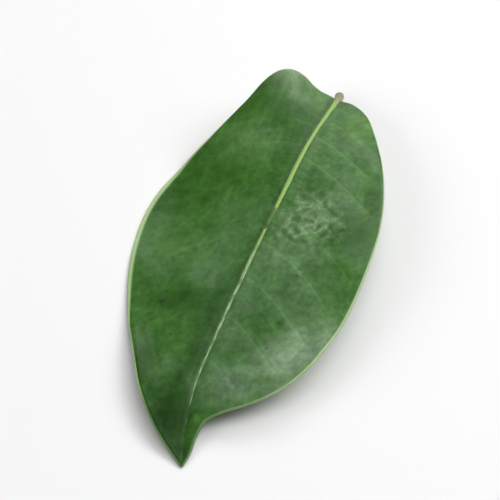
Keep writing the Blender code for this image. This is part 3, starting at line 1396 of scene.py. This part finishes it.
@dataclass(frozen=True)
class UpperFinish(Finish):
    """The upper face: waxy dark green, mottled, with paler veins and a pale margin.

    Soft zones paint shade, sheen and highlights into its colour, and the margin is partly a painted
    highlight.
    """

    name: str = "leaf_upper_face"
    deep: Colour = (0.0275, 0.103, 0.0105)
    # dark: painted shade, as at the tip and in bands turned from the light, partly a darker green;
    # it also paints the shadow beside the midrib.
    dark: Colour = (0.006, 0.032, 0.002)
    green: Colour = (0.0405, 0.134, 0.0165)
    light: Colour = (0.0565, 0.168, 0.0275)
    paler: Colour = (1.5, 1.35, 1.6)
    # Pale lines of the dented place: partly real wrinkles, partly painted highlights.
    crinkle: Colour = (0.200, 0.310, 0.160)
    # The pale margin: partly the edge's own paler colour, partly a painted highlight of the edge
    # catching light.
    margin: Colour = (0.380, 0.540, 0.250)
    speck: Colour = (0.012, 0.030, 0.008)
    # A lighter yellow-green: partly the leaf's own colour, partly painted light where the surface
    # faces the lamps.
    young: Colour = (0.15, 0.3, 0.08)
    # Painted sheen: a greyish green that stands in for the waxy reflection.
    bloom: Colour = (0.083, 0.153, 0.08)
    # pale: a painted highlight, the grey-white of the brightest sheen.
    pale: Colour = (0.190, 0.290, 0.160)
    wax: float = 0.32
    gloss: Gloss = Gloss(refraction=1.2, coat_roughness=0.36)
    broad_mottle: Mottle = Mottle(24.0, 2.0, 0.5)
    cloud_mottle: Mottle = Mottle(5.0, 4.0, 0.5)
    grain_mottle: Mottle = Mottle(0.8, 3.0, 0.6)
    fleck_mottle: Mottle = Mottle(1.3, 4.0, 0.4)
    blotch_mottle: Mottle = Mottle(3.2, 2.0, 0.5)
    fleck_range: Range = (0.83, 1.13)
    blotch_range: Range = (0.82, 1.14)
    mottle_stretch: tuple[float, float, float] = (1.0, 0.7, 1.0)
    side_blend: float = 4.0
    left_mottling: float = 0.85
    left_veining: float = 0.4
    vein_net: Net = Net(2.1, 0.12, 0.5)
    pore_net: Net = Net(0.75, 0.12, 0.4)
    vein_line: Stripe = Stripe(0.06, 0.45)
    vein_halo: Stripe = Stripe(0.1, 2.2)
    halo_clouds: Range = (0.1, 0.7)
    crinkle_net: Net = Net(4.0, 0.24, 1.8)
    crinkled: Patch = Patch(45.0, 9.0, 15.0, 13.0, 0.6)
    shade_place: float = -1.05
    shade_line: Stripe = Stripe(0.1, 0.7)
    stray_specks: Specks = Specks(11.0, 0.16, 0.4)
    margin_line: Stripe = Stripe(0.45, 0.55)
    roughness: Range = (0.34, 0.48)
    pore_polish: float = -0.04
    wax_range: Range = (0.8, 1.2)
    pillow_height: float = 0.55
    pore_height: float = 0.2
    fleck_height: float = 0.5
    grain_height: float = 0.25
    # Soft zones that paint shade, sheen and highlights into the colour, besides lighter and darker
    # green, dark specks and more or less wax.
    zones: tuple[Zone, ...] = (
        Zone(2.5, -10.5, 10, 10, {Tone.YOUNG: 0.75, Tone.PALE: 0.6, Tone.WAX: 0.4}),
        Zone(23, -14, 9, 12, {Tone.YOUNG: 0.22, Tone.PALE: 0.1, Tone.WAX: 0.3}),
        Zone(15, -6, 10, 8, {Tone.DEEP: 0.14, Tone.DULL: 0.34}),
        Zone(30, -3, 34, 5, {Tone.DEEP: 0.18, Tone.DULL: 1}),
        Zone(85, -3, 34, 5, {Tone.DEEP: 0.51, Tone.BLOOM: 0.13, Tone.DULL: 0.95}),
        Zone(42, -29, 14, 10, {Tone.DEEP: 0.42, Tone.DULL: 1}),
        Zone(42, -12, 10, 7, {Tone.YOUNG: 0.16, Tone.BLOOM: 0.1, Tone.DULL: 0.27}),
        Zone(50, -6, 16, 9, {Tone.YOUNG: 0.095, Tone.BLOOM: 0.32}),
        Zone(58, -20, 9, 15, {Tone.DEEP: 0.19, Tone.YOUNG: 0.32, Tone.BLOOM: 0.16, Tone.DULL: 1}),
        Zone(75, -10, 11, 13, {Tone.DEEP: 0.42, Tone.DULL: 0.3}),
        Zone(95, -14, 12, 8, {Tone.DEEP: 0.55, Tone.DULL: 1}),
        Zone(110, -5, 18, 12, {Tone.DEEP: 0.9, Tone.DULL: 1}),
        Zone(100, -3, 14, 8, {Tone.DEEP: 0.25, Tone.DULL: 0.76}),
        Zone(7, 11, 12, 12, {Tone.YOUNG: 0.42, Tone.DULL: 1}),
        Zone(33, 7, 9, 8, {Tone.DEEP: 0.24, Tone.DULL: 0.98}),
        Zone(26, 16, 8, 11, {Tone.YOUNG: 0.18, Tone.BLOOM: 0.21, Tone.DULL: 0.62}),
        Zone(47, 20, 15, 12, {Tone.DEEP: 0.34, Tone.DULL: 1}),
        Zone(45, 8, 10, 10, {Tone.YOUNG: 0.27, Tone.BLOOM: 0.42, Tone.DULL: 0.3}),
        Zone(78, 2, 40, 5, {Tone.YOUNG: 0.11, Tone.BLOOM: 0.53, Tone.DULL: 0.12}),
        Zone(60, 7, 12, 9, {Tone.YOUNG: 0.39, Tone.BLOOM: 0.47, Tone.DULL: 0.25}),
        Zone(86, 8, 9, 9, {Tone.DEEP: 0.28, Tone.BLOOM: 0.2, Tone.DULL: 0.8}),
        Zone(99, 8, 10, 12, {Tone.YOUNG: 0.6, Tone.BLOOM: 0.86, Tone.WAX: 1}),
        Zone(84, 22, 19, 9, {Tone.YOUNG: 0.9, Tone.BLOOM: 0.7, Tone.WAX: 0.5}),
        Zone(86, 17, 12, 8, {Tone.PALE: 0.39, Tone.WAX: 0.45}),
        Zone(72, 15, 11, 9, {Tone.YOUNG: 0.1, Tone.BLOOM: 0.25, Tone.DULL: 0.2}),
        Zone(68, 12, 14, 12, {Tone.DEEP: 0.26, Tone.YOUNG: 0.19, Tone.BLOOM: 0.4, Tone.DULL: 0.87}),
        Zone(6, -1, 7, 5, {Tone.YOUNG: 0.25, Tone.DULL: 0.49}),
        Zone(66, -20, 10, 10, {Tone.BLOOM: 0.17, Tone.WAX: 0.33}),
        Zone(64, -8, 9, 9, {Tone.YOUNG: 0.1, Tone.BLOOM: 0.35}),
        Zone(96, 19, 8, 6, {Tone.PALE: 0.35, Tone.WAX: 0.4}),
        Zone(77, 7, 7, 7, {Tone.DEEP: 0.25, Tone.DULL: 0.5}),
        Zone(20, 2.5, 16, 3, {Tone.YOUNG: 0.25}),
        Zone(85, 2.5, 6, 3, {Tone.YOUNG: 0.25, Tone.BLOOM: 0.2}),
        Zone(116, -2, 6, 5, {Tone.DEEP: 0.45}),
        Zone(76, -16.3, 1.4, 1.4, {Tone.SPECK: 1}),
        Zone(78, 13, 1.3, 1.3, {Tone.SPECK: 0.7}),
        Zone(88, 8, 1.8, 1.8, {Tone.SPECK: 0.4}),
        Zone(60, -17.5, 1.6, 1.6, {Tone.SPECK: 0.35}),
    )

    def dress(self, paint: Painter) -> None:
        """Draw the pattern.

        Args:
            paint: the material's wiring.
        """
        flat = paint.mark(Mark.FLAT)
        side = paint.ease(paint.axis(flat, "X"), -self.side_blend, self.side_blend)
        stretched = paint.vector("MULTIPLY", flat, self.mottle_stretch)
        clouds = paint.draw(self.cloud_mottle, stretched)
        grain = paint.draw(self.grain_mottle, stretched)
        flecks = paint.draw(self.fleck_mottle, stretched)
        blotches = paint.draw(self.blotch_mottle, stretched)
        colour = paint.mix(paint.draw(self.broad_mottle, flat), self.deep, self.green)
        colour = paint.tint(colour, self.light, clouds, share=0.6)
        colour = paint.tint(colour, self.deep, grain, share=0.4)
        colour, coat = self.zoned(paint, flat, colour)
        colour = self.veined(paint, flat, side, clouds, colour)
        colour = self.crinkled_over(paint, flat, clouds, flecks, colour)
        mottling = paint.span(side, self.left_mottling, 1.0)
        for part, ends in ((flecks, self.fleck_range), (blotches, self.blotch_range)):
            colour = paint.mix(mottling, colour, paint.span(part, *ends), "MULTIPLY")
        colour = self.marked(paint, flat, colour)
        pores = paint.draw(self.pore_net, flat, "Pillow")
        roughness = paint.span(flecks, *self.roughness)
        roughness = paint.total((roughness, 1.0), (pores, self.pore_polish))
        pillow = paint.draw(self.vein_net, flat, "Pillow")
        height = paint.total(
            (pillow, self.pillow_height),
            (pores, self.pore_height),
            (flecks, self.fleck_height),
            (grain, self.grain_height),
        )
        coat = paint.maths("MULTIPLY", coat, paint.span(flecks, *self.wax_range))
        paint.finish(colour, roughness, height, self.gloss, coat)

    def zoned(self, paint: Painter, flat: Socket, colour: Socket) -> tuple[Socket, Source]:
        """Turn each zone towards its tones, painting shade, sheen and highlights into the colour.

        Args:
            paint: the material's wiring.
            flat: the place on the flat blade.
            colour: the colour so far.

        Returns:
            The new colour, and the weight of the wax.
        """
        tones = {
            Tone.DEEP: self.dark,
            Tone.YOUNG: self.young,
            Tone.BLOOM: self.bloom,
            Tone.PALE: self.pale,
            Tone.SPECK: self.speck,
        }
        wax_ends = {Tone.WAX: 1.0, Tone.DULL: 0.0}
        coat: Source = self.wax
        for zone in self.zones:
            mask = paint.draw(zone.patch(), flat)
            for tone, share in zone.shares.items():
                if tone in tones:
                    colour = paint.tint(colour, tones[tone], mask, share)
                else:
                    gap = paint.maths("SUBTRACT", wax_ends[tone], coat)
                    part = paint.maths("MULTIPLY", mask, share)
                    coat = paint.maths("MULTIPLY_ADD", gap, part, coat)
        return colour, coat

    def veined(
        self, paint: Painter, flat: Socket, side: Socket, clouds: Socket, colour: Socket
    ) -> Socket:
        """Lighten the fine net, the side veins and the blade round them.

        Args:
            paint: the material's wiring.
            flat: the place on the flat blade.
            side: 0 on the left half and 1 on the right one.
            clouds: the soft patches that the veins' halos show in.
            colour: the colour so far.

        Returns:
            The new colour.
        """
        net = paint.draw(self.vein_net, flat)
        colour = paint.tint(colour, self.paler, net, share=0.2, blend="MULTIPLY")
        shown = paint.span(side, self.left_veining, 1.0)
        shown = paint.maths("MULTIPLY", shown, paint.mark(Mark.VEIN_SHOW))
        gap = paint.mark(Mark.VEIN)
        vein = paint.maths("MULTIPLY", paint.draw(self.vein_line, gap), shown)
        colour = paint.tint(colour, self.paler, vein, share=0.4, blend="MULTIPLY")
        halo = paint.maths("MULTIPLY", paint.draw(self.vein_halo, gap), shown)
        halo = paint.maths("MULTIPLY", halo, paint.span(clouds, *self.halo_clouds))
        return paint.mix(halo, colour, self.paler, "MULTIPLY")

    def crinkled_over(
        self, paint: Painter, flat: Socket, clouds: Socket, flecks: Socket, colour: Socket
    ) -> Socket:
        """Draw the pale wrinkle lines of the one dented place, partly real wrinkles and partly
        painted highlights.

        Args:
            paint: the material's wiring.
            flat: the place on the flat blade.
            clouds: wide patches that break the lines up.
            flecks: narrow patches that break them up.
            colour: the colour so far.

        Returns:
            The new colour.
        """
        crinkle_glints = paint.draw(self.crinkle_net, flat)
        crinkle_glints = paint.maths("MULTIPLY", crinkle_glints, paint.draw(self.crinkled, flat))
        broken = paint.maths("MULTIPLY", paint.maths("ADD", clouds, flecks), 0.5)
        return paint.mix(paint.maths("MULTIPLY", crinkle_glints, broken), colour, self.crinkle)

    def marked(self, paint: Painter, flat: Socket, colour: Socket) -> Socket:
        """Draw the painted shadow beside the midrib, the stray specks and the pale margin, which is
        partly a painted highlight.

        Args:
            paint: the material's wiring.
            flat: the place on the flat blade.
            colour: the colour so far.

        Returns:
            The new colour.
        """
        # Painted shadow: a thin dark line just left of the midrib, where the raised rib shades the
        # blade.
        beside = paint.maths("SUBTRACT", paint.axis(flat, "X"), self.shade_place)
        shade = paint.draw(self.shade_line, paint.maths("ABSOLUTE", beside))
        colour = paint.tint(colour, self.dark, shade, share=0.38)
        colour = paint.tint(colour, self.speck, paint.draw(self.stray_specks, flat), share=0.7)
        # The pale margin band, partly a painted highlight along the edge.
        margin = paint.draw(self.margin_line, paint.mark(Mark.BORDER))
        return paint.tint(colour, self.margin, margin, share=0.95)


@dataclass(frozen=True)
class UnderFinish(Finish):
    """The under face: paler and matt, with a net of raised veins."""

    name: str = "leaf_under_face"
    green: Colour = (0.110, 0.200, 0.070)
    pale: Colour = (0.160, 0.260, 0.105)
    vein: Colour = (0.260, 0.360, 0.150)
    gloss: Gloss = Gloss(refraction=1.42, depth=0.05)
    cloud_mottle: Mottle = Mottle(8.0, 4.0, 0.5)
    grain_mottle: Mottle = Mottle(0.6, 3.0, 0.6)
    wide_net: Net = Net(1.9, 0.16, 0.5)
    narrow_net: Net = Net(0.7, 0.2, 0.4)
    vein_line: Stripe = Stripe(0.18, 0.5)
    roughness: Range = (0.55, 0.68)
    wide_height: float = 0.6
    narrow_height: float = 1.0

    def dress(self, paint: Painter) -> None:
        """Draw the pattern.

        Args:
            paint: the material's wiring.
        """
        flat = paint.mark(Mark.FLAT)
        grain = paint.draw(self.grain_mottle, flat)
        wide = paint.draw(self.wide_net, flat)
        narrow = paint.draw(self.narrow_net, flat)
        vein = paint.draw(self.vein_line, paint.mark(Mark.VEIN))
        vein = paint.maths("MULTIPLY", vein, paint.mark(Mark.VEIN_SHOW))
        colour = paint.mix(paint.draw(self.cloud_mottle, flat), self.green, self.pale)
        colour = paint.tint(colour, self.green, grain, share=0.25)
        colour = paint.tint(colour, self.vein, wide, share=0.4)
        colour = paint.tint(colour, self.vein, narrow, share=0.15)
        colour = paint.tint(colour, self.vein, vein, share=0.8)
        height = paint.total((wide, self.wide_height), (narrow, self.narrow_height))
        paint.finish(colour, paint.span(grain, *self.roughness), height, self.gloss)


@dataclass(frozen=True)
class RimFinish(Finish):
    """The rim: a thin pale yellow-green line round the blade, darker towards the tip."""

    name: str = "leaf_rim"
    pale: Colour = (0.340, 0.480, 0.220)
    green: Colour = (0.200, 0.320, 0.120)
    deep: Colour = (0.045, 0.120, 0.022)
    gloss: Gloss = Gloss(depth=0.02)
    cloud_mottle: Mottle = Mottle(5.0, 3.0, 0.4)
    grain_mottle: Mottle = Mottle(0.5, 2.0, 0.6)
    deep_reach: Range = (98.0, 112.0)
    roughness: Range = (0.38, 0.5)

    def dress(self, paint: Painter) -> None:
        """Draw the pattern.

        Args:
            paint: the material's wiring.
        """
        flat = paint.mark(Mark.FLAT)
        grain = paint.draw(self.grain_mottle, flat)
        clouds = paint.draw(self.cloud_mottle, flat)
        by_tip = paint.ease(paint.axis(flat, "Y"), *self.deep_reach)
        colour = paint.tint(self.pale, self.green, clouds, share=0.5)
        colour = paint.tint(colour, self.deep, by_tip, share=0.85)
        paint.finish(colour, paint.span(grain, *self.roughness), grain, self.gloss)


@dataclass(frozen=True)
class RibFinish(Finish):
    """The stalk's and midrib's skin: yellow-green, olive and browner towards the cut end."""

    name: str = "stalk_and_midrib_skin"
    bright: Colour = (0.290, 0.450, 0.100)
    green: Colour = (0.170, 0.310, 0.060)
    dull: Colour = (0.095, 0.185, 0.050)
    # The pale knots past mid-length: partly the rib's own knots, partly painted sheen on its beads.
    knot: Colour = (0.300, 0.450, 0.250)
    dusky: Colour = (0.320, 0.205, 0.180)
    olive: Colour = (0.120, 0.150, 0.035)
    brown: Colour = (0.080, 0.055, 0.022)
    scar: Colour = (0.075, 0.130, 0.035)
    spot: Colour = (0.070, 0.045, 0.022)
    gloss: Gloss = Gloss()
    streak_stretch: float = 0.35
    streak_mottle: Mottle = Mottle(0.35, 3.0, 0.5)
    knot_mottle: Mottle = Mottle(1.0, 1.0, 0.25)
    stalk_specks: Specks = Specks(0.6, 0.3, 0.14)
    upper_side: Stripe = Stripe(1.0, 0.6)
    scar_place: float = 45.5
    scar_line: Stripe = Stripe(2.6, 1.8)
    spot_place: float = 48.6
    spot_line: Stripe = Stripe(0.5, 0.7)
    knotted_reach: Range = (44.0, 70.0)
    dusky_reach: Range = (-2.5, 1.0)
    olive_reach: Range = (-1.5, 5.0)
    brown_reach: Range = (7.0, 10.4)
    roughness: Range = (0.38, 0.55)

    def dress(self, paint: Painter) -> None:
        """Draw the pattern.

        Args:
            paint: the material's wiring.
        """
        along = paint.mark(Mark.ALONG)
        around = paint.mark(Mark.AROUND)
        join = paint.add("ShaderNodeCombineXYZ")
        paint.feed(join.inputs["X"], around)
        paint.feed(join.inputs["Y"], paint.maths("MULTIPLY", along, self.streak_stretch))
        place = join.outputs["Vector"]
        streaks = paint.draw(self.streak_mottle, place)
        colour = paint.tint(self.bright, self.green, streaks, share=0.4)
        colour = self.aged(paint, along, around, paint.draw(self.knot_mottle, place), colour)
        down = paint.maths("MULTIPLY", along, -1.0)
        olive = paint.ease(down, *self.olive_reach)
        colour = paint.tint(colour, self.dusky, paint.ease(down, *self.dusky_reach), share=0.8)
        colour = paint.tint(colour, self.olive, olive, share=0.6)
        colour = paint.tint(colour, self.brown, paint.ease(down, *self.brown_reach), share=0.85)
        specks = paint.maths("MULTIPLY", paint.draw(self.stalk_specks, place), olive)
        colour = paint.tint(colour, self.green, specks, share=0.5)
        paint.finish(colour, paint.span(streaks, *self.roughness), streaks, self.gloss)

    def aged(
        self, paint: Painter, along: Socket, around: Socket, knots: Socket, colour: Socket
    ) -> Socket:
        """Draw the marks of the midrib's upper side.

        Args:
            paint: the material's wiring.
            along: the distance from the base.
            around: the angle from the top of the rib.
            knots: the patches that the knots fill.
            colour: the colour so far.

        Returns:
            The colour with a sunken dull stretch and a brown spot near mid-length, and
            with pale knots past it, partly painted sheen.
        """
        above = paint.draw(self.upper_side, paint.maths("ABSOLUTE", around))
        knotted = paint.mix(knots, self.dull, self.knot)
        from_scar = paint.maths("ABSOLUTE", paint.maths("SUBTRACT", along, self.scar_place))
        from_spot = paint.maths("ABSOLUTE", paint.maths("SUBTRACT", along, self.spot_place))
        marks = (
            (self.scar, paint.draw(self.scar_line, from_scar), 0.9),
            (knotted, paint.ease(along, *self.knotted_reach), 0.9),
            (self.spot, paint.draw(self.spot_line, from_spot), 0.8),
        )
        for tone, mask, share in marks:
            colour = paint.tint(colour, tone, paint.maths("MULTIPLY", mask, above), share)
        return colour


@dataclass(frozen=True)
class CutFinish(Finish):
    """The cut end of the stalk: a dry pale core in a brown ring."""

    name: str = "stalk_cut_end"
    core: Colour = (0.210, 0.160, 0.070)
    ring: Colour = (0.055, 0.034, 0.014)
    gloss: Gloss = Gloss(refraction=1.4, depth=0.06)
    fibre_mottle: Mottle = Mottle(0.22, 3.0, 0.5)
    ring_reach: Range = (0.45, 0.85)
    roughness: Range = (0.75, 0.9)

    def dress(self, paint: Painter) -> None:
        """Draw the pattern.

        Args:
            paint: the material's wiring.
        """
        place = paint.scaled(paint.add("ShaderNodeTexCoord").outputs["Object"], MM)
        fibres = paint.draw(self.fibre_mottle, place)
        colour = paint.mix(paint.ease(paint.mark(Mark.CUT), *self.ring_reach), self.core, self.ring)
        colour = paint.tint(colour, self.ring, fibres, share=0.5)
        paint.finish(colour, paint.span(fibres, *self.roughness), fibres, self.gloss)


@dataclass(frozen=True)
class FloorFinish(Finish):
    """The plain pale floor."""

    name: str = "pale_floor"
    white: Colour = (0.86, 0.86, 0.86)
    roughness: float = 0.9
    gloss: Gloss = Gloss(refraction=1.2, depth=0.0)

    def dress(self, paint: Painter) -> None:
        """Draw the pattern."""
        paint.finish(self.white, self.roughness, 0.0, self.gloss)


@dataclass(frozen=True)
class SoftLight:
    """A soft rectangular light that shines at the leaf's middle."""

    name: str
    azimuth: float
    elevation: float
    distance: float
    width: float
    height: float
    power: float
    colour: Colour = (1.0, 1.0, 1.0)

    def build(self, target: Vector) -> bpy.types.Object:
        """Add the light, turned towards the target.

        Args:
            target: the place that it shines at.

        Returns:
            The light's object.
        """
        lamp = bpy.data.lights.new(self.name, "AREA")
        lamp.shape = "RECTANGLE"
        lamp.size = self.width
        lamp.size_y = self.height
        lamp.energy = self.power
        lamp.color = self.colour
        item = bpy.data.objects.new(self.name, lamp)
        away = direction(self.azimuth, self.elevation)
        item.location = target + away * self.distance
        item.rotation_euler = away.to_track_quat("Z", "Y").to_euler()
        bpy.context.scene.collection.objects.link(item)
        return item


def direction(azimuth: float, elevation: float) -> Vector:
    """Unit vector towards a place seen at that azimuth and elevation, in degrees.

    Args:
        azimuth: 0 in front of the leaf's tip, and 90 to the leaf's right.
        elevation: 0 level with the floor, and 90 straight above.

    Returns:
        The vector.
    """
    turn = math.radians(azimuth)
    rise = math.radians(elevation)
    flat = math.cos(rise)
    return Vector((math.sin(turn) * flat, -math.cos(turn) * flat, math.sin(rise)))


@dataclass(frozen=True)
class Studio:
    """The floor, the lights and the camera."""

    floor_size: float = 8.0
    camera_azimuth: float = 17.0
    camera_elevation: float = 44.0
    camera_distance: float = 0.60
    lens: float = 185.0
    sensor: float = 36.0
    clip_start: float = 0.01
    target: tuple[float, float, float] = (0.0, 0.0, 5.0)
    world_strength: float = 0.08
    lights: tuple[SoftLight, ...] = (
        SoftLight("window_light", 168.0, 38.0, 1.0, 1.2, 0.4, 7.0),
        SoftLight("side_light", 110.0, 40.0, 1.0, 0.6, 0.6, 4.0),
        SoftLight("top_light", 60.0, 72.0, 1.1, 0.9, 0.9, 4.5),
        SoftLight("front_light", -50.0, 28.0, 1.1, 0.8, 0.6, 5.0),
    )

    def build(self, floor_material: bpy.types.Material) -> None:
        """Set up the floor, the lights, the world and the camera.

        Args:
            floor_material: the floor's material.
        """
        self.build_floor(floor_material)
        middle = Vector(self.target) * MM
        for light in self.lights:
            light.build(middle)
        world = bpy.data.worlds.new("studio")
        world.use_nodes = True
        background = world.node_tree.nodes["Background"]
        background.inputs["Color"].default_value = (1.0, 1.0, 1.0, 1.0)
        background.inputs["Strength"].default_value = self.world_strength
        bpy.context.scene.world = world
        bpy.context.scene.view_settings.view_transform = "Standard"
        self.build_camera(middle)

    def build_floor(self, material: bpy.types.Material) -> None:
        """Lay the floor level with the lowest points of the leaf.

        Args:
            material: the floor's material.
        """
        half = self.floor_size / 2 / MM
        corners = np.array([(-half, -half, 0), (half, -half, 0), (half, half, 0), (-half, half, 0)])
        mesh_object("floor", corners, [[0, 1, 2, 3]], np.zeros(1), [material])

    def build_camera(self, middle: Vector) -> None:
        """Look down on the leaf from in front of its tip.

        Args:
            middle: the place that it looks at.
        """
        camera = bpy.data.cameras.new("camera")
        camera.lens = self.lens
        camera.sensor_width = self.sensor
        camera.clip_start = self.clip_start
        item = bpy.data.objects.new("camera", camera)
        away = direction(self.camera_azimuth, self.camera_elevation)
        item.location = middle + away * self.camera_distance
        item.rotation_euler = away.to_track_quat("Z", "Y").to_euler()
        bpy.context.scene.collection.objects.link(item)
        bpy.context.scene.camera = item


def hand_over(item: bpy.types.Object) -> None:
    """Let a piece ride on the leaf's body in place of its solid, and report it.

    Args:
        item: the piece.
    """
    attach(item, BODY)
    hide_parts(LEAF_NODE)
    log.info("%s: %d faces", item.name, len(item.data.polygons))


def main() -> None:
    """Build the leaf's two pieces and the studio round them."""
    logging.basicConfig(level=logging.INFO, format="%(name)s: %(message)s")
    form = LeafForm()
    effects = LeafEffects()
    skins = [finish.make(effects) for finish in (UpperFinish(), UnderFinish(), RimFinish())]
    blade = Blade(form)
    hand_over(blade.build(skins))
    rib = StalkAndMidrib(form, blade_thickness=blade.thickness)
    hand_over(rib.build([RibFinish().make(effects), CutFinish().make(effects)]))
    Studio().build(FloorFinish().make(effects))


if __name__ == "__main__":
    main()
